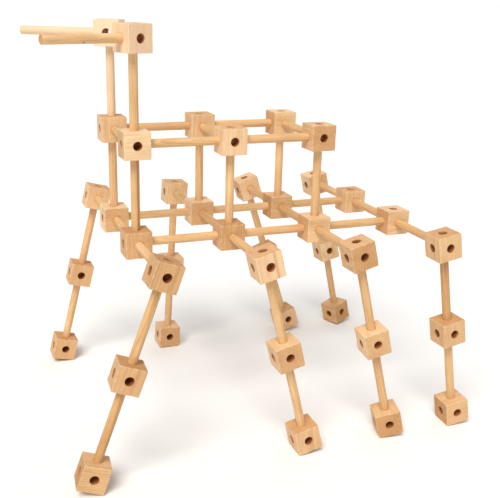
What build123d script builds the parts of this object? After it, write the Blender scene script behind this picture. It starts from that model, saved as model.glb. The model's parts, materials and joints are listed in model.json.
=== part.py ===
"""Eight-legged walker put together from a cube-and-dowel construction kit, in millimetres.

Every joint of the walker is one 30 mm wooden cube, drilled through on all three axes, and every link
is one 10 mm dowel, 100 mm long. Cube centres sit on a square lattice, one pitch apart:

  lower deck   four columns of cubes, two rows wide, with a hip cube outside each of them
  upper deck   three columns over the head end of the lower deck
  heads        one cube on a neck over each front corner, each with a feeler dowel
  legs         hip, knee and foot cubes, a pitch apart down a thigh and a shin dowel

+X runs from the heads to the tail, +Y from the near row to the far row and +Z up. The origin is on
the floor, under the middle of the walker's bounding box.
"""

from build123d import *
from math import sqrt
import os

# The two kinds of stock
cube_edge = 30.0
cube_edge_round = 0.6
dowel_diameter = 10.0
dowel_length = 100.0
dowel_end_round = 1.0

# The sockets: a dowel turns in them by hand, and friction holds it where it is left
socket_clearance = 0.06
socket_diameter = dowel_diameter + 2 * socket_clearance
socket_mouth_chamfer = 0.4

# The lattice: a dowel stops short of the bores that cross in the middle of a cube
dowel_end_to_cube_centre = 5.5
dowel_end_clear_of_bores = 5.1
pitch = dowel_length + 2 * dowel_end_to_cube_centre
lower_columns = 4
upper_columns = 3
rows = {"near": 0, "far": 1}
outward = {"near": -1, "far": 1}

# The stance: height of the hip axles over the floor, then for each leg its swing towards the tail,
# and the turn of its knee cube and of its foot cube about the leg, in degrees
hip_height = 233.5
leg_pose = {
    "near_1": (-20.0, -5.0, -6.0),
    "near_2": (14.5, -1.0, -1.0),
    "near_3": (14.5, -6.0, -15.0),
    "near_4": (10.0, 1.0, -4.0),
    "far_1": (-14.0, -2.0, 1.0),
    "far_2": (-3.0, 0.0, 0.0),
    "far_3": (18.0, 3.0, 4.0),
    "far_4": (13.0, 2.0, 20.0),
}
head_turn = {"near": 21.0, "far": -27.0}

# A dowel is made along Z: these turn it to lie along X or along Y
along_x = Rot(0, 90, 0)
along_y = Rot(90, 0, 0)


def lattice(column, row, level):
    """The place that many pitches along, across and above the near front cube of the lower deck."""
    return Pos(column * pitch, row * pitch, level * pitch + hip_height)


def cube_reach(place, direction):
    """How far the surface of a cube at this place stands out from its centre in a direction."""
    axes = (place.x_axis, place.y_axis, place.z_axis)
    slant = sum(abs(axis.direction.dot(direction)) for axis in axes)
    return (cube_edge / 2 - cube_edge_round) * slant + cube_edge_round


def dowel_reach(place, direction):
    """How far the surface of a dowel at this place stands out from its middle in a direction."""
    along = abs(place.z_axis.direction.dot(direction))
    across = sqrt(max(0.0, 1 - along**2))
    flat_end = (dowel_diameter / 2 - dowel_end_round) * across
    return (dowel_length / 2 - dowel_end_round) * along + flat_end + dowel_end_round


def leg_drops(hip, foot_turn):
    """How far down the leg its thigh, knee, shin and foot are centred, with the foot's corner on the floor.

    A leg that swings further stands on dowels that are pushed less deeply into their sockets. In a leg
    that is too short for the bores of its hip and knee to stay open, the shin goes deeper into the foot.
    """
    up = Vector(0, 0, 1)
    foot = (hip_height - cube_reach(hip * Rot(0, 0, foot_turn), up)) / hip.z_axis.direction.dot(up)
    knee = max(foot / 2, dowel_length + 2 * dowel_end_clear_of_bores)
    shin = knee + max((foot - knee) / 2, dowel_length / 2 + dowel_end_clear_of_bores)
    return knee / 2, knee, shin, foot


def middle(reach_of_places, direction):
    """Middle of the span that places take up in a direction, given pairs of reach function and places."""
    spans = [
        (place.position.dot(direction), reach(place, direction))
        for reach, places in reach_of_places
        for place in places
    ]
    low = min(centre - size for centre, size in spans)
    high = max(centre + size for centre, size in spans)
    return (low + high) / 2


# Where every cube and every dowel goes, by the name of its piece or of its group of equal pieces
cubes = {}
dowels = {}

for side, row in rows.items():
    lower = [lattice(column, row, 0) for column in range(lower_columns)]
    upper = [lattice(column, row, 1) for column in range(upper_columns)]
    half_up = Pos(0, 0, pitch / 2)
    half_along = Pos(pitch / 2, 0, 0) * along_x
    half_out = Pos(0, outward[side] * pitch / 2, 0) * along_y
    head = lattice(0, row, 2) * Rot(0, 0, head_turn[side])

    cubes[f"lower_deck_cubes_{side}"] = lower
    cubes[f"upper_deck_cubes_{side}"] = upper
    cubes[f"head_cube_{side}"] = [head]
    dowels[f"lower_rails_{side}"] = [cube * half_along for cube in lower[:-1]]
    dowels[f"upper_rails_{side}"] = [cube * half_along for cube in upper[:-1]]
    dowels[f"posts_{side}"] = [cube * half_up for cube in lower[:upper_columns]]
    dowels[f"neck_{side}"] = [upper[0] * half_up]
    dowels[f"feeler_{side}"] = [head * Pos(-pitch / 2, 0, 0) * along_x]
    dowels[f"hip_dowels_{side}"] = [cube * half_out for cube in lower]

half_across = Pos(0, pitch / 2, 0) * along_y
dowels["lower_cross_dowels"] = [lattice(column, 0, 0) * half_across for column in range(lower_columns)]
dowels["upper_cross_dowels"] = [lattice(column, 0, 1) * half_across for column in range(upper_columns)]

for leg, (swing, knee_turn, foot_turn) in leg_pose.items():
    side, number = leg.split("_")
    hip = lattice(int(number) - 1, rows[side] + outward[side], 0) * Rot(0, -swing, 0)
    thigh, knee, shin, foot = leg_drops(hip, foot_turn)

    cubes[f"hip_cube_{leg}"] = [hip]
    cubes[f"knee_cube_{leg}"] = [hip * Pos(0, 0, -knee) * Rot(0, 0, knee_turn)]
    cubes[f"foot_cube_{leg}"] = [hip * Pos(0, 0, -foot) * Rot(0, 0, foot_turn)]
    dowels[f"thigh_{leg}"] = [hip * Pos(0, 0, -thigh)]
    dowels[f"shin_{leg}"] = [hip * Pos(0, 0, -shin)]

everything = [(cube_reach, places) for places in cubes.values()]
everything += [(dowel_reach, places) for places in dowels.values()]
to_origin = Pos(-middle(everything, Vector(1, 0, 0)), -middle(everything, Vector(0, 1, 0)), 0)

# One cube of stock: rounded edges, then a socket right through along each axis
with BuildPart() as stock_cube:
    Box(cube_edge, cube_edge, cube_edge)
    fillet(stock_cube.edges(), cube_edge_round)
    for turn in ((0, 0, 0), (0, 90, 0), (90, 0, 0)):
        Cylinder(socket_diameter / 2, cube_edge, rotation=turn, mode=Mode.SUBTRACT)
    mouths = stock_cube.edges().filter_by(GeomType.CIRCLE).group_by(SortBy.RADIUS)[-1]
    chamfer(mouths, socket_mouth_chamfer)

# One dowel of stock
with BuildPart() as stock_dowel:
    Cylinder(dowel_diameter / 2, dowel_length)
    fillet(stock_dowel.edges().filter_by(GeomType.CIRCLE), dowel_end_round)

os.makedirs("parts", exist_ok=True)
for stock, pieces in ((stock_cube, cubes), (stock_dowel, dowels)):
    for name, places in pieces.items():
        with BuildPart() as piece:
            with Locations(*[to_origin * place for place in places]):
                add(stock.part)
        piece.part.label = name
        export_step(piece.part, f"parts/{name}.step")
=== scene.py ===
"""Looks of the cube-and-dowel walker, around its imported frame.

Lengths are in metres unless a name ends in _mm.
"""

import json
import math
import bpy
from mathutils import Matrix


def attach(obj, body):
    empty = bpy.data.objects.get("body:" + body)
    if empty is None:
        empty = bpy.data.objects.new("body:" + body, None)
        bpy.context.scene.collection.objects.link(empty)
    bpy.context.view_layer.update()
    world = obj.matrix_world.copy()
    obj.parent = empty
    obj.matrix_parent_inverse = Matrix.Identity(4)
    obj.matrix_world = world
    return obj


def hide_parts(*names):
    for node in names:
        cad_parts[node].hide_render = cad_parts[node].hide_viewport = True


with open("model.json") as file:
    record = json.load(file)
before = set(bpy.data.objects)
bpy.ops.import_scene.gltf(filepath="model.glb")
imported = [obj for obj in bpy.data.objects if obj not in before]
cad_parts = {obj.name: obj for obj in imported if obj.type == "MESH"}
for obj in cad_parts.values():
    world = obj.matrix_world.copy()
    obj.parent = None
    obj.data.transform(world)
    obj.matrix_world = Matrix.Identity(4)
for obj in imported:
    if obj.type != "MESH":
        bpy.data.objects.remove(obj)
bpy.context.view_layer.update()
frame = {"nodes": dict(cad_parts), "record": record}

import zlib

import bpy
import numpy as np
from mathutils import Matrix, Vector, noise

MM = 0.001

# Stock sizes, as in the CAD
cube_half_mm = 15.0
edge_round_mm = 0.6
bore_radius_mm = 5.06
mouth_round_mm = 0.4
dowel_radius_mm = 5.0
dowel_half_mm = 50.0
dowel_end_round_mm = 1.0

# Mesh fineness: a multiple of 8 around a bore lets the crossing bores meet point to point
bore_sides = 96
dowel_sides = 48
dowel_rings = 36
smooth_below_degrees = 50

# Where these begin and where they are full: a cube's edge and its faces, as distances from the middle,
# the painted shade and drill scorch as a depth down a bore, and the wear of a dowel's end as a distance
# from the tip
edge_zone_mm = (12.6, 14.9)
face_zone_mm = (14.2, 14.9)
scorch_and_shade_zone_mm = (0.1, 0.9)
dowel_end_zone_mm = (1.6, 0.0)

# Wear, as wood lost: all of it goes inwards, so no piece outgrows its solid
edge_rub_mm = 0.20
edge_fuzz_mm = 0.035
face_hollow_mm = 0.018
fewest_knocks, most_knocks = 4, 8
knock_width_mm = (0.9, 2.4)
knock_depth_mm = (0.10, 0.30)
dowel_under_size_mm = 0.016
dowel_end_wear_mm = 0.06

# How a piece was cut from its log: how far off the pith runs, and how far the grain leans
pith_distance_mm = (22, 75)
grain_lean = 0.035
longest_grain_mm = 900

# A place that no point of a piece comes near, for a dark line along the fibres or a knot that the piece
# doesn't have
nowhere_mm = (900.0, 900.0, 900.0)


# ---------------------------------------------------------------- reading the CAD solids


def solids_of(node):
    """The separate solids of a CAD node, from low X to high: (points, triangle normals and areas)."""
    mesh = node.data
    mesh.calc_loop_triangles()
    points = np.array([v.co for v in mesh.vertices], float)
    triangles = np.array([t.vertices for t in mesh.loop_triangles], int)
    corners = points[triangles]
    low, high = corners[:, :, 0].min(1), corners[:, :, 0].max(1)
    groups, reach = [], -math.inf
    for k in np.argsort(low):
        if low[k] > reach + MM:
            groups.append([])
        groups[-1].append(k)
        reach = max(reach, high[k])
    found = []
    for group in groups:
        c = corners[group]
        cross = np.cross(c[:, 1] - c[:, 0], c[:, 2] - c[:, 0])
        area = np.linalg.norm(cross, axis=1)
        keep = area > 1e-12
        found.append((c.reshape(-1, 3), cross[keep] / area[keep, None], area[keep]))
    return found


def pose_matrix(x, y, z, points):
    """The matrix of a solid's own frame: these axes, with the middle of its extents as origin."""
    axes = np.array([x, y, z])
    along = points @ axes.T
    centre = ((along.min(0) + along.max(0)) / 2) @ axes
    m = Matrix([list(row) for row in axes.T])
    return Matrix.Translation(Vector(centre)) @ m.to_4x4()


def cube_frame(points, normals, areas):
    """A cube's frame, its axes named by the row axes that they are nearest to."""
    first = normals[np.argmax(areas)]
    square = np.abs(normals @ first) < 0.01
    second = normals[square][np.argmax(areas[square])]
    second -= (second @ first) * first
    second /= np.linalg.norm(second)
    found = [first, second, np.cross(first, second)]
    named = []
    for row_axis in (2, 1, 0):
        pick = max(range(len(found)), key=lambda k: abs(found[k][row_axis]))
        axis = found.pop(pick)
        named.append(axis * np.sign(axis[row_axis]))
    z, y, x = named
    return pose_matrix(np.cross(y, z), y, z, points)


def dowel_frame(points, normals, areas):
    """A dowel's frame, with z along it and x towards the near side, or up if it runs near to far."""
    spread = np.linalg.svd(points - points.mean(0), full_matrices=False)[2][0]
    caps = np.abs(normals @ spread) > 0.999
    z = (normals[caps] * (np.sign(normals[caps] @ spread) * areas[caps])[:, None]).sum(0)
    z /= np.linalg.norm(z)
    z *= np.sign(z[np.argmax(np.abs(z))])
    runs_near_to_far = abs(z[1]) >= 0.9
    side = np.array([0.0, 0.0, 1.0] if runs_near_to_far else [0.0, -1.0, 0.0])
    x = side - (side @ z) * z
    x /= np.linalg.norm(x)
    return pose_matrix(x, np.cross(z, x), z, points)


# ---------------------------------------------------------------- meshes of the stock


def ring_faces(first, second, count):
    """Quads between two rings, by the numbers of their first points, facing up if the second is wider."""
    k = np.arange(count)
    n = (k + 1) % count
    return np.stack([second + k, second + n, first + n, first + k], 1)


def welded(points, faces):
    """Points that fall together made one, with the faces renumbered."""
    # to the micrometre, and clear of the halfway values, where rounding could part them
    key = np.round(points * 1e3 + 0.123).astype(np.int64)
    _, first, inverse = np.unique(key, axis=0, return_index=True, return_inverse=True)
    return points[first], inverse.reshape(-1)[faces]


def stock_cube_points():
    """The bored cube in millimetres, without wear: (points, quads)."""
    turn = 2 * np.pi * np.arange(bore_sides) / bore_sides
    circle = np.stack([np.cos(turn), np.sin(turn)], 1)
    square = circle / np.abs(circle).max(1)[:, None]
    flat = cube_half_mm - edge_round_mm
    rings = []

    # the bore wall, from the curve where the crossing bores cut it to the start of the mouth's rounding
    crossing = bore_radius_mm * np.abs(circle).max(1)
    top = cube_half_mm - mouth_round_mm
    for share in (0.0, 0.35, 0.75, 1.0):
        z = crossing * (1 - share) + top * share
        rings.append(np.column_stack([circle * bore_radius_mm, z]))
    # the mouth, a quarter round
    for angle in np.radians([22.5, 45, 67.5, 90]):
        r = bore_radius_mm + mouth_round_mm * (1 - np.cos(angle))
        z = top + mouth_round_mm * np.sin(angle)
        rings.append(np.column_stack([circle * r, np.full(bore_sides, z)]))
    # the face, from round to square
    start = circle * (bore_radius_mm + mouth_round_mm)
    for share in (0.06, 0.3, 0.6, 0.85, 1.0):
        xy = start * (1 - share) + square * flat * share
        rings.append(np.column_stack([xy, np.full(bore_sides, cube_half_mm)]))
    # half of the rounding at the four edges, as far as the neighbouring face's half
    for angle in np.radians([11.25, 22.5, 33.75, 45]):
        q = np.column_stack([
            square * (flat + edge_round_mm * np.tan(angle)),
            np.full(bore_sides, cube_half_mm),
        ])
        core = np.clip(q, -flat, flat)
        out = q - core
        rings.append(core + edge_round_mm * out / np.linalg.norm(out, axis=1)[:, None])

    one = np.concatenate(rings)
    quads = np.concatenate([
        ring_faces(k * bore_sides, (k + 1) * bore_sides, bore_sides) for k in range(len(rings) - 1)
    ])
    # one sixth for each face of the cube
    turns = [
        np.eye(3),
        np.array([[1, 0, 0], [0, -1, 0], [0, 0, -1]]),
        np.array([[0, 0, 1], [1, 0, 0], [0, 1, 0]]),
        np.array([[0, 0, -1], [-1, 0, 0], [0, 1, 0]]),
        np.array([[0, 1, 0], [0, 0, 1], [1, 0, 0]]),
        np.array([[0, -1, 0], [0, 0, -1], [1, 0, 0]]),
    ]
    points = np.concatenate([one @ t.T for t in turns])
    faces = np.concatenate([quads + k * len(one) for k in range(len(turns))])
    return welded(points, faces)


def stock_dowel_points():
    """The dowel in millimetres, along z: (points, faces), faces of three or four points."""
    turn = 2 * np.pi * np.arange(dowel_sides) / dowel_sides
    circle = np.stack([np.cos(turn), np.sin(turn)], 1)
    flat = dowel_radius_mm - dowel_end_round_mm
    profile = [(flat * 0.35, dowel_half_mm), (flat * 0.7, dowel_half_mm), (flat, dowel_half_mm)]
    for angle in np.radians([18, 36, 54, 72, 90]):
        profile.append((
            flat + dowel_end_round_mm * np.sin(angle),
            dowel_half_mm - dowel_end_round_mm * (1 - np.cos(angle)),
        ))
    straight = dowel_half_mm - dowel_end_round_mm
    along = [(dowel_radius_mm, z) for z in np.linspace(straight, -straight, dowel_rings + 1)[1:-1]]
    profile = profile + along + [(r, -z) for r, z in reversed(profile)]
    rings = [np.column_stack([circle * r, np.full(dowel_sides, z)]) for r, z in profile]
    last = len(rings) * dowel_sides
    points = np.concatenate(rings + [[[0, 0, dowel_half_mm], [0, 0, -dowel_half_mm]]])
    faces = [
        list(map(int, f))
        for k in range(len(rings) - 1)
        for f in ring_faces(k * dowel_sides, (k + 1) * dowel_sides, dowel_sides)
    ]
    for k in range(dowel_sides):
        n = (k + 1) % dowel_sides
        faces.append([last, k, n])
        faces.append([last + 1, last - dowel_sides + n, last - dowel_sides + k])
    return points, faces


def smooth(x, low, high):
    """0 below low, 1 above high and an even rise in between."""
    t = np.clip((np.asarray(x, float) - low) / (high - low), 0, 1)
    return t * t * (3 - 2 * t)


def noise_at(points, scale, offset):
    """Smooth noise from -1 to 1 at each point."""
    o = Vector(offset)
    return np.array([noise.noise(Vector(p) * scale + o) for p in points])


cube_points, cube_faces = stock_cube_points()
cube_faces = [list(map(int, f)) for f in cube_faces]
dowel_points, dowel_faces = stock_dowel_points()

extent = np.sort(np.abs(cube_points), axis=1)
cube_edge_mask = smooth(extent[:, 1], *edge_zone_mm)
bore_depth_mm = cube_half_mm - extent[:, 2]
in_bore = np.hypot(extent[:, 0], extent[:, 1]) < bore_radius_mm + 0.5 * mouth_round_mm
# painted shade down each bore, with drill scorch: a quarter strength at the mouth's rim, full from about
# 0.9 mm in
cube_bore_scorch_and_shade_mask = np.where(in_bore, 0.25 + 0.75 * smooth(bore_depth_mm, *scorch_and_shade_zone_mm), 0.0)


def worn_cube(rng):
    """The stock cube in millimetres with its own wear: rubbed edges, knocks, faces not quite flat."""
    offset = rng.uniform(-50, 50, 3)
    direction = cube_points / np.linalg.norm(cube_points, axis=1)[:, None]
    rub = smooth(noise_at(cube_points, 0.11, offset), -0.15, 0.75)
    fine = noise_at(cube_points, 0.55, offset + 9)
    depth = cube_edge_mask**2 * (edge_rub_mm * rub + edge_fuzz_mm * np.abs(fine))
    # knocks along the edges
    for _ in range(rng.integers(fewest_knocks, most_knocks + 1)):
        a, b = rng.permutation(3)[:2]
        at = rng.uniform(-cube_half_mm, cube_half_mm, 3)
        at[a], at[b] = rng.choice([-1, 1], 2) * cube_half_mm
        width = rng.uniform(*knock_width_mm)
        away = np.linalg.norm(cube_points - at, axis=1)
        dent = np.exp(-((away / width) ** 2)) * (cube_edge_mask > 0.3)
        depth += rng.uniform(*knock_depth_mm) * dent
    outer = smooth(extent[:, 2], *face_zone_mm) * (1 - cube_bore_scorch_and_shade_mask)
    depth += outer * face_hollow_mm * (1 + noise_at(cube_points, 0.16, offset + 31))
    return cube_points - direction * (depth * outer)[:, None]


def worn_dowel(rng):
    """The stock dowel in millimetres, a hair under size in places, as turned stock is."""
    offset = rng.uniform(-50, 50, 3)
    z = dowel_points[:, 2]
    long_points = dowel_points * [0.35, 0.35, 0.045]
    under = dowel_under_size_mm * (1 + noise_at(long_points, 1.0, offset))
    start_mm, full_mm = dowel_end_zone_mm
    end = smooth(np.abs(z), dowel_half_mm - start_mm, dowel_half_mm - full_mm)
    under += dowel_end_wear_mm * end * (0.5 + 0.5 * noise_at(dowel_points, 0.6, offset + 5))
    # the points in the middle of the ends stay where they are
    out = dowel_points.copy()
    radius = np.hypot(out[:, 0], out[:, 1])
    scale = np.where(radius > 0.5, 1 - under / np.maximum(radius, 0.5), 1.0)
    out[:, :2] *= scale[:, None]
    return out


# ---------------------------------------------------------------- beech, as a material


class Nodes:
    """A short way to write a node tree. node returns the node it adds, and math and the like an output."""

    def __init__(self, material):
        self.tree = material.node_tree
        self.tree.nodes.clear()

    def put(self, socket, value):
        """Links another node's output to a socket, or sets the socket to a plain value."""
        if isinstance(value, bpy.types.NodeSocket):
            self.tree.links.new(value, socket)
        else:
            socket.default_value = value

    def node(self, kind, settings=None, **inputs):
        """Adds a node. Its inputs are given by name, with _ for a space, or by number as i0, i1, ..."""
        made = self.tree.nodes.new(kind)
        for key, value in (settings or {}).items():
            setattr(made, key, value)
        for key, value in inputs.items():
            slot = made.inputs[int(key[1:])] if key[1:].isdigit() else made.inputs[key.replace("_", " ")]
            self.put(slot, value)
        return made

    def math(self, operation, a, b=0.0, c=0.0, clamp=False):
        settings = {"operation": operation, "use_clamp": clamp}
        return self.node("ShaderNodeMath", settings, i0=a, i1=b, i2=c).outputs[0]

    def vmath(self, operation, a, b=(0, 0, 0)):
        made = self.node("ShaderNodeVectorMath", {"operation": operation}, i0=a, i1=b)
        return made.outputs["Value" if operation in ("LENGTH", "DISTANCE") else "Vector"]

    def attribute(self, name, kind="GEOMETRY", output="Fac"):
        settings = {"attribute_name": name, "attribute_type": kind}
        return self.node("ShaderNodeAttribute", settings).outputs[output]

    def combine(self, x, y=0.0, z=0.0):
        return self.node("ShaderNodeCombineXYZ", X=x, Y=y, Z=z).outputs[0]

    def noise(self, vector, scale, detail=2.0, rough=0.5):
        """Noise from 0 to 1, with this many waves per unit along each axis."""
        scaled = self.vmath("MULTIPLY", vector, scale)
        made = self.node("ShaderNodeTexNoise", Vector=scaled, Scale=1.0, Detail=detail, Roughness=rough)
        return made.outputs["Fac"]

    def ramp(self, value, low, high, to_low=0.0, to_high=1.0):
        """A smooth step from to_low, at low, to to_high, at high."""
        return self.node(
            "ShaderNodeMapRange",
            {"interpolation_type": "SMOOTHSTEP"},
            i0=value, i1=low, i2=high, i3=to_low, i4=to_high,
        ).outputs[0]

    def mix(self, factor, a, b, blend="MIX"):
        """Colour a where factor is 0 and b where it is 1, or a blended with b."""
        made = self.node("ShaderNodeMix", {"data_type": "RGBA", "blend_type": blend})
        for index, value in ((0, factor), (6, a), (7, b)):
            self.put(made.inputs[index], value)
        return made.outputs[2]

    def surface(self, **inputs):
        """Ends the tree in a principled surface with these inputs."""
        shader = self.node("ShaderNodeBsdfPrincipled", **inputs)
        self.node("ShaderNodeOutputMaterial", Surface=shader.outputs[0])


def rgb(r, g, b):
    return (r, g, b, 1.0)


def beech(name, light, dark, end_tint, ring_mm):
    """Bare sanded beech: growth rings, fibres, flecks, darker end grain, rubbed edges, and bores darkened
    with painted shade and drill scorch.

    It reads each piece's own grain coordinates in millimetres, z along the fibres, and its tones, which
    carry painted light and shade as well.
    """
    material = bpy.data.materials.new(name)
    material.use_nodes = True
    n = Nodes(material)
    grain = n.attribute("grain", output="Vector")
    here = n.attribute("here", output="Vector")
    end = n.attribute("end_grain")
    edge = n.attribute("edge")
    # painted shade and drill scorch down the bores
    bore_scorch_and_shade = n.attribute("bore_scorch_and_shade")
    tone_and_painted_light = n.attribute("tone_and_painted_light", "OBJECT")
    blush = n.attribute("blush", "OBJECT")
    painted_light_pale = n.attribute("painted_light_pale", "OBJECT")
    figure = n.attribute("figure", "OBJECT")
    streak_and_shade = n.attribute("streak_and_shade", "OBJECT", "Vector")
    streak_and_shade_depth = n.attribute("streak_and_shade_depth", "OBJECT")
    knot = n.attribute("knot", "OBJECT", "Vector")

    # growth rings about the pith, pulled a little out of round
    wander = n.noise(grain, (0.045, 0.045, 0.010), 2.0)
    ripple = n.noise(grain, (0.25, 0.25, 0.02), 2.0)
    radius = n.vmath("LENGTH", n.vmath("MULTIPLY", grain, (1, 1, 0)))
    phase = n.math("DIVIDE", radius, ring_mm)
    phase = n.math("MULTIPLY_ADD", wander, 3.2, phase)
    phase = n.math("MULTIPLY_ADD", ripple, 0.55, phase)
    saw = n.math("FRACT", phase)
    rise = n.ramp(saw, 0.25, 0.93)
    drop = n.ramp(saw, 0.95, 1.0, 1.0, 0.0)
    rings = n.math("MULTIPLY", rise, drop)
    # some years are fainter
    year = n.noise(n.combine(n.math("FLOOR", phase)), (0.73, 1, 1), 0.0)
    rings = n.math("MULTIPLY", rings, n.ramp(year, 0.30, 0.70, 0.35, 1.0))

    # fibres, vessels and ray flecks, long in the direction of the grain
    fibre = n.noise(grain, (2.1, 2.1, 0.055), 4.0, 0.65)
    broad = n.noise(grain, (0.42, 0.42, 0.016), 3.0, 0.55)
    vessel = n.noise(grain, (7.5, 7.5, 0.22), 2.0, 0.6)
    fleck = n.ramp(n.noise(grain, (2.6, 2.6, 0.42), 1.0), 0.635, 0.70)
    cloud = n.noise(grain, (0.055, 0.055, 0.022), 3.0, 0.5)

    # from light to dark wood, by all of these
    shade = n.math("MULTIPLY", rings, n.math("MULTIPLY_ADD", figure, 0.34, 0.10))
    for pattern, strength in ((fibre, 0.62), (broad, 0.95), (cloud, 0.90), (vessel, 0.22)):
        shade = n.math("MULTIPLY_ADD", n.math("SUBTRACT", pattern, 0.5), strength, shade)
    shade = n.math("ADD", shade, 0.30, clamp=True)
    colour = n.mix(shade, light, dark)
    colour = n.mix(n.math("MULTIPLY", fleck, 0.34), colour, rgb(0.36, 0.165, 0.065))

    # end grain soaks up more light and shows its pores
    pore = n.ramp(n.noise(grain, (5.2, 5.2, 0.3), 1.0), 0.55, 0.68)
    end_mask = n.ramp(end, 0.55, 0.95)
    end_colour = n.mix(n.math("MULTIPLY", pore, 0.30), end_tint, rgb(0.45, 0.40, 0.34))
    colour = n.mix(end_mask, colour, n.mix(1.0, colour, end_colour, "MULTIPLY"))

    # a dark line along the fibres, a real streak on some pieces and painted shade along the side turned
    # away from the light on others, and a pin knot, where the piece has one
    from_streak_and_shade = n.vmath("LENGTH", n.vmath("MULTIPLY", n.vmath("SUBTRACT", here, streak_and_shade), (1, 1, 0)))
    from_streak_and_shade = n.math("MULTIPLY_ADD", n.math("SUBTRACT", broad, 0.5), 1.2, from_streak_and_shade)
    streak_and_shade_mask = n.math("MULTIPLY", n.ramp(from_streak_and_shade, 0.5, 2.0, 1.0, 0.0), streak_and_shade_depth)
    colour = n.mix(streak_and_shade_mask, colour, n.mix(1.0, colour, rgb(0.62, 0.40, 0.24), "MULTIPLY"))
    from_knot = n.vmath("DISTANCE", here, knot)
    from_knot = n.math("MULTIPLY_ADD", n.math("SUBTRACT", fibre, 0.5), 0.7, from_knot)
    colour = n.mix(n.ramp(from_knot, 0.5, 1.5, 1.0, 0.0), colour, rgb(0.16, 0.065, 0.025))

    # how pink the piece is, how pale where painted light falls on it, and its tone, its own wood's with
    # painted light and shade in it, where darker wood is also more golden
    colour = n.mix(painted_light_pale, colour, rgb(0.95, 0.79, 0.59))
    colour = n.mix(blush, colour, n.mix(1.0, colour, rgb(1.0, 0.90, 0.93), "MULTIPLY"))
    gain = n.combine(*[n.math("POWER", tone_and_painted_light, power) for power in (0.75, 1.2, 1.8)])
    colour = n.vmath("MULTIPLY", colour, gain)

    # edges rubbed pale by handling, with a little dirt in the knocks
    rub_noise = n.noise(here, (0.20, 0.20, 0.20), 3.0, 0.6)
    rubbed = n.math("MULTIPLY", n.ramp(edge, 0.45, 1.0), n.ramp(rub_noise, 0.42, 0.66))
    colour = n.mix(n.math("MULTIPLY", rubbed, 0.38), colour, rgb(0.93, 0.76, 0.55))
    dirt_noise = n.noise(here, (0.85, 0.85, 0.85), 2.0)
    dirt = n.math("MULTIPLY", n.ramp(edge, 0.72, 1.0), n.ramp(dirt_noise, 0.58, 0.72))
    colour = n.mix(n.math("MULTIPLY", dirt, 0.30), colour, rgb(0.42, 0.24, 0.12))

    # painted shade down the bores, with drill scorch
    scorch_and_shade_noise = n.noise(here, (0.9, 0.9, 0.9), 2.0)
    scorch_and_shade = n.mix(scorch_and_shade_noise, rgb(0.48, 0.265, 0.165), rgb(0.71, 0.44, 0.285))
    colour = n.mix(bore_scorch_and_shade, colour, n.mix(1.0, colour, scorch_and_shade, "MULTIPLY"))

    # sheen and relief
    roughness = n.math("MULTIPLY_ADD", n.math("SUBTRACT", fibre, 0.5), 0.30, 0.52)
    for part, strength in ((rings, 0.07), (end_mask, 0.13), (rubbed, -0.10)):
        roughness = n.math("MULTIPLY_ADD", part, strength, roughness)
    roughness = n.math("MULTIPLY_ADD", bore_scorch_and_shade, 0.25, roughness, clamp=True)
    height = n.math("MULTIPLY", fibre, 0.55)
    end_pore = n.math("MULTIPLY", pore, end_mask)
    for part, strength in ((vessel, 0.55), (fleck, -0.35), (end_pore, -0.6), (rings, -0.20)):
        height = n.math("MULTIPLY_ADD", part, strength, height)
    bump = n.node("ShaderNodeBump", Strength=0.55, Distance=0.00009, Height=height).outputs[0]
    n.surface(Base_Color=colour, Roughness=roughness, Normal=bump, IOR=1.46, Specular_IOR_Level=0.38)
    return material


cube_beech = beech(
    "beech_cube",
    light=rgb(0.87, 0.615, 0.350),
    dark=rgb(0.60, 0.335, 0.142),
    end_tint=rgb(0.86, 0.76, 0.66),
    ring_mm=2.6,
)
dowel_beech = beech(
    "beech_dowel",
    light=rgb(0.85, 0.570, 0.290),
    dark=rgb(0.52, 0.270, 0.092),
    end_tint=rgb(0.80, 0.68, 0.56),
    ring_mm=2.1,
)
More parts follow.
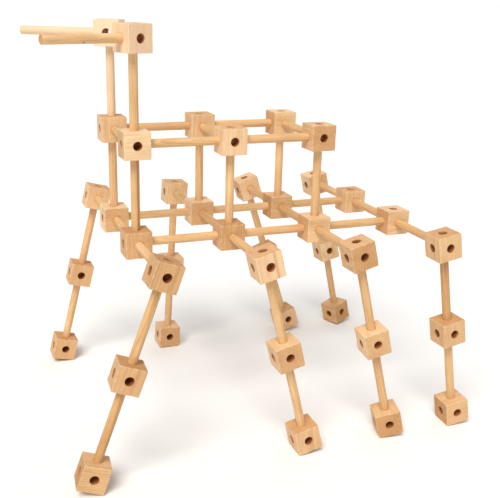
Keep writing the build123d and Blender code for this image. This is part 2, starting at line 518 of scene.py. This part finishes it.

# ---------------------------------------------------------------- how single pieces differ

# Each piece draws its own looks by chance, and these are the pieces that are given theirs. tone is how
# bright it is, its own wood's tone with painted light and shade in it: raised where light falls strongest,
# as on the heads, and lowered where shade falls, as on the near lower deck. blush is how pink it is, pale
# how creamy, which is painted light on the heads, the far feeler and the far neck, figure how strong its
# growth rings are, and fibre the axis of a cube that its fibres run along. A streak is a place across a
# piece's z axis where a dark line runs along the piece, a real streak on some pieces and painted shade
# along the side turned away from the light on others, and a knot a place in the piece, both in
# millimetres.
looks = {
    # heads and necks
    # painted light: the raised tones and the paleness of the heads, the far feeler and the far neck
    "head_cube_near_1": {"tone_and_painted_light": 1.05, "blush": 0.5, "painted_light_pale": 0.25, "fibre": "z", "figure": 0.2},
    "head_cube_far_1": {"tone_and_painted_light": 1.06, "blush": 0.0, "painted_light_pale": 0.45, "fibre": "z", "figure": 0.1},
    # painted shade: this feeler's streak runs along its lower side, turned away from the light
    "feeler_near_1": {
        "tone_and_painted_light": 1.06, "blush": 0.3, "figure": 0.2,
        "streak_and_shade": (1.8, 5.4), "streak_and_shade_depth": 0.75, "knot": (3.4, 3.7, -5.0),
    },
    "feeler_far_1": {"tone_and_painted_light": 1.04, "painted_light_pale": 0.4, "figure": 0.2},
    # painted shade: this neck's streak runs down the side turned away from the light
    "neck_near_1": {"tone_and_painted_light": 1.0, "figure": 0.9, "streak_and_shade": (1.5, 4.8), "streak_and_shade_depth": 0.6},
    "neck_far_1": {"tone_and_painted_light": 1.05, "painted_light_pale": 0.3, "figure": 0.2},
    # decks
    # painted light: the raised tones of these two upper deck cubes
    "upper_deck_cubes_near_1": {"tone_and_painted_light": 1.10, "figure": 0.3, "fibre": "x"},
    "upper_deck_cubes_near_2": {"tone_and_painted_light": 1.10, "blush": 0.4, "figure": 0.3, "fibre": "z"},
    "upper_deck_cubes_near_3": {"tone_and_painted_light": 0.95, "figure": 1.0, "fibre": "y"},
    # painted shade: the low tones of these two lower deck cubes
    "lower_deck_cubes_near_1": {"tone_and_painted_light": 0.79, "figure": 0.4, "fibre": "z"},
    "lower_deck_cubes_near_2": {"tone_and_painted_light": 0.77, "figure": 0.9, "fibre": "z"},
    "lower_deck_cubes_far_2": {"tone_and_painted_light": 1.08, "figure": 0.3},
    "lower_deck_cubes_far_3": {"tone_and_painted_light": 0.80, "blush": 0.0, "figure": 0.5},
    "lower_cross_dowels_1": {"tone_and_painted_light": 0.93, "blush": 0.0},
    "lower_cross_dowels_2": {"tone_and_painted_light": 0.90, "blush": 0.0},
    "lower_cross_dowels_3": {"tone_and_painted_light": 0.88, "blush": 0.0},
    "lower_cross_dowels_4": {"tone_and_painted_light": 0.90, "blush": 0.0},
    "posts_near_1": {"tone_and_painted_light": 0.97, "streak_and_shade": (4.6, 2.0), "streak_and_shade_depth": 0.8},
    "hip_dowels_near_1": {"tone_and_painted_light": 1.08, "blush": 0.6, "figure": 0.1},
    "hip_dowels_near_2": {"tone_and_painted_light": 0.90, "blush": 0.0, "figure": 0.5},
    "hip_dowels_near_3": {"tone_and_painted_light": 0.90, "blush": 0.0, "figure": 0.6},
    "hip_dowels_near_4": {"tone_and_painted_light": 0.92, "blush": 0.0, "figure": 0.5},
    # near legs
    # painted shade: part of this cube's low tone
    "hip_cube_near_1_1": {"tone_and_painted_light": 0.75, "blush": 0.0, "figure": 0.8, "fibre": "z"},
    "thigh_near_1_1": {"tone_and_painted_light": 0.92, "figure": 0.9},
    "knee_cube_near_1_1": {"tone_and_painted_light": 0.80, "figure": 0.5, "fibre": "z"},
    "shin_near_1_1": {"tone_and_painted_light": 0.80, "figure": 0.6},
    "foot_cube_near_1_1": {"tone_and_painted_light": 0.86, "figure": 1.0, "fibre": "x"},
    "hip_cube_near_2_1": {
        "tone_and_painted_light": 1.08, "blush": 0.5, "figure": 0.4, "fibre": "z",
        "streak_and_shade": (6.5, -15.0), "streak_and_shade_depth": 0.55,
    },
    "knee_cube_near_2_1": {"tone_and_painted_light": 0.98, "figure": 0.4},
    "foot_cube_near_2_1": {"tone_and_painted_light": 0.93, "figure": 0.6},
    "hip_cube_near_3_1": {"tone_and_painted_light": 0.88, "figure": 0.5},
    "knee_cube_near_3_1": {"tone_and_painted_light": 1.06, "figure": 0.3},
    "foot_cube_near_3_1": {"tone_and_painted_light": 0.86, "figure": 0.6},
    "hip_cube_near_4_1": {"tone_and_painted_light": 0.94, "figure": 0.6},
    "thigh_near_4_1": {"tone_and_painted_light": 0.80, "figure": 0.8},
    "knee_cube_near_4_1": {"tone_and_painted_light": 0.86, "figure": 0.5},
    "foot_cube_near_4_1": {"tone_and_painted_light": 0.86, "figure": 0.5},
    # far legs
    "knee_cube_far_1_1": {"tone_and_painted_light": 0.84, "figure": 0.4},
    "foot_cube_far_1_1": {"tone_and_painted_light": 0.82, "figure": 0.6},
    "foot_cube_far_4_1": {"tone_and_painted_light": 0.84, "figure": 0.5},
}

# Turns a cube so that its fibres, along the axis named, run along z
fibre_turns = {
    "x": np.array([[0, 1, 0], [0, 0, 1], [1, 0, 0]], float),
    "y": np.array([[0, 0, 1], [1, 0, 0], [0, 1, 0]], float),
    "z": np.eye(3),
}


def float_attribute(mesh, name, values):
    """Gives every point of a mesh a number that its material reads by name."""
    layer = mesh.attributes.new(name, "FLOAT", "POINT")
    layer.data.foreach_set("value", np.asarray(values, np.float32))


def vector_attribute(mesh, name, values):
    """Gives every point of a mesh a vector that its material reads by name."""
    layer = mesh.attributes.new(name, "FLOAT_VECTOR", "POINT")
    layer.data.foreach_set("vector", np.asarray(values, np.float32).ravel())


def build_piece(name, node, body, matrix, is_cube):
    """One piece of beech in place of a CAD solid, riding on the body that the solid belongs to."""
    rng = np.random.default_rng(zlib.crc32(name.encode()))
    own = {
        "tone_and_painted_light": rng.uniform(0.93, 1.07),
        "blush": rng.uniform(0.0, 0.35),
        "painted_light_pale": 0.0,
        "figure": rng.uniform(0.15, 0.85),
        "fibre": rng.choice(["x", "y", "z"], p=[0.25, 0.25, 0.5]),
        "streak_and_shade": nowhere_mm[:2],
        "streak_and_shade_depth": 0.0,
        "knot": nowhere_mm,
    }
    own.update(looks.get(name, {}))
    points = worn_cube(rng) if is_cube else worn_dowel(rng)
    mesh = bpy.data.meshes.new(name)
    mesh.from_pydata((points * MM).tolist(), [], cube_faces if is_cube else dowel_faces)
    mesh.update()
    mesh.polygons.foreach_set("use_smooth", [True] * len(mesh.polygons))
    mesh.set_sharp_from_angle(angle=math.radians(smooth_below_degrees))

    # where the piece lay in its log: z along the fibres, the pith at x = y = 0
    turn = fibre_turns[own["fibre"]] if is_cube else np.eye(3)
    pith_turn = rng.uniform(0, 2 * np.pi)
    pith_away = rng.uniform(*pith_distance_mm)
    c, s = math.cos(pith_turn), math.sin(pith_turn)
    spin = np.array([[c, -s, 0], [s, c, 0], [0, 0, 1]])
    lean = rng.normal(0, grain_lean, 2)
    grain = points @ turn.T @ spin.T
    grain[:, 0] += pith_away + lean[0] * grain[:, 2]
    grain[:, 1] += lean[1] * grain[:, 2]
    grain[:, 2] += rng.uniform(0, longest_grain_mm)
    normals = np.array([v.normal for v in mesh.vertices])

    vector_attribute(mesh, "grain", grain)
    vector_attribute(mesh, "here", points)
    float_attribute(mesh, "end_grain", np.abs(normals @ turn[2]))
    float_attribute(mesh, "edge", cube_edge_mask if is_cube else np.zeros(len(points)))
    # the painted shade and drill scorch down the bores
    float_attribute(mesh, "bore_scorch_and_shade", cube_bore_scorch_and_shade_mask if is_cube else np.zeros(len(points)))
    mesh.materials.append(cube_beech if is_cube else dowel_beech)

    piece = bpy.data.objects.new("beech_" + name, mesh)
    bpy.context.scene.collection.objects.link(piece)
    piece.matrix_world = matrix
    for key in ("tone_and_painted_light", "blush", "painted_light_pale", "figure", "streak_and_shade_depth"):
        piece[key] = float(own[key])
    piece["streak_and_shade"] = [float(v) for v in own["streak_and_shade"]] + [0.0]
    piece["knot"] = [float(v) for v in own["knot"]]
    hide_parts(node)
    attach(piece, body)


for body, members in frame["record"]["behaviour"]["bodies"].items():
    for node in members:
        is_cube = "_cube" in node
        for k, solid in enumerate(solids_of(frame["nodes"][node])):
            matrix = cube_frame(*solid) if is_cube else dowel_frame(*solid)
            build_piece(f"{node}_{k + 1}", node, body, matrix, is_cube)

# ---------------------------------------------------------------- floor, light and camera


def stage_material():
    """A pale matt floor with a faint unevenness."""
    material = bpy.data.materials.new("studio_floor")
    material.use_nodes = True
    n = Nodes(material)
    place = n.node("ShaderNodeTexCoord").outputs["Object"]
    mottle = n.noise(place, (2.0, 2.0, 2.0), 3.0)
    colour = n.mix(mottle, rgb(0.90, 0.90, 0.90), rgb(0.93, 0.93, 0.93))
    n.surface(Base_Color=colour, Roughness=0.85, Specular_IOR_Level=0.1)
    return material


def make_floor(radii, sides):
    """A wide round floor of these rings, with its middle under the walker."""
    turn = 2 * np.pi * np.arange(sides) / sides
    points = [(0, 0, 0)]
    faces = []
    previous = None
    for r in radii:
        ring = range(len(points), len(points) + sides)
        points += [(r * math.cos(t), r * math.sin(t), 0) for t in turn]
        for k in range(sides):
            after = (k + 1) % sides
            if previous is None:
                faces.append((0, ring[k], ring[after]))
            else:
                faces.append((previous[k], ring[k], ring[after], previous[after]))
        previous = ring
    mesh = bpy.data.meshes.new("studio_floor")
    mesh.from_pydata(points, [], faces)
    mesh.update()
    mesh.materials.append(stage_material())
    floor = bpy.data.objects.new("studio_floor", mesh)
    bpy.context.scene.collection.objects.link(floor)


def sun(name, toward, strength, softness, colour):
    """A sun that stands in the direction toward. Its softness is the width of its disc in degrees."""
    data = bpy.data.lights.new(name, "SUN")
    data.energy = strength
    data.angle = math.radians(softness)
    data.color = colour
    lamp = bpy.data.objects.new(name, data)
    lamp.rotation_euler = (-Vector(toward)).to_track_quat("-Z", "Y").to_euler()
    bpy.context.scene.collection.objects.link(lamp)


def studio_world(ambient):
    """A white surround, which lights the object by less than it shows."""
    world = bpy.data.worlds.new("studio")
    world.use_nodes = True
    tree = world.node_tree
    tree.nodes.clear()
    out = tree.nodes.new("ShaderNodeOutputWorld")
    mix = tree.nodes.new("ShaderNodeMixShader")
    path = tree.nodes.new("ShaderNodeLightPath")
    for socket, strength in ((1, ambient), (2, 1.0)):
        shade = tree.nodes.new("ShaderNodeBackground")
        shade.inputs["Color"].default_value = (1.0, 1.0, 1.0, 1.0)
        shade.inputs["Strength"].default_value = strength
        tree.links.new(shade.outputs[0], mix.inputs[socket])
    tree.links.new(path.outputs["Is Camera Ray"], mix.inputs[0])
    tree.links.new(mix.outputs[0], out.inputs["Surface"])
    bpy.context.scene.world = world


def make_camera(place, turn_right, look_down, roll, lens_mm, shift):
    """The scene's camera. Its three angles, in radians, turn it from a level view along +Y."""
    forward = Vector((
        math.sin(turn_right) * math.cos(look_down),
        math.cos(turn_right) * math.cos(look_down),
        -math.sin(look_down),
    ))
    level_right = Vector((math.cos(turn_right), -math.sin(turn_right), 0.0))
    level_up = level_right.cross(forward)
    right = math.cos(roll) * level_right + math.sin(roll) * level_up
    up = -math.sin(roll) * level_right + math.cos(roll) * level_up
    data = bpy.data.cameras.new("camera")
    data.lens = lens_mm
    data.shift_x, data.shift_y = shift
    camera = bpy.data.objects.new("camera", data)
    turned = Matrix((right, up, -forward)).transposed().to_4x4()
    camera.matrix_world = Matrix.Translation(place) @ turned
    bpy.context.scene.collection.objects.link(camera)
    bpy.context.scene.camera = camera


make_floor(radii=(0.5, 1.0, 2.0, 4.0, 9.0, 30.0), sides=96)

studio_world(ambient=0.37)
sun("key", toward=(-0.55, -0.68, 1.15), strength=2.9, softness=34.0, colour=(1.0, 0.975, 0.935))
sun("fill", toward=(1.0, 1.1, 0.7), strength=0.6, softness=60.0, colour=(1.0, 0.99, 0.975))

# The camera stands off the near front corner, a little above the upper deck, and leans very slightly
make_camera(
    place=Vector((-0.3572, -0.8911, 0.4993)),
    turn_right=0.3826,
    look_down=0.3175,
    roll=0.0266,
    lens_mm=57.1,
    shift=(0.012, 0.016),
)
bpy.context.scene.view_settings.view_transform = "Standard"
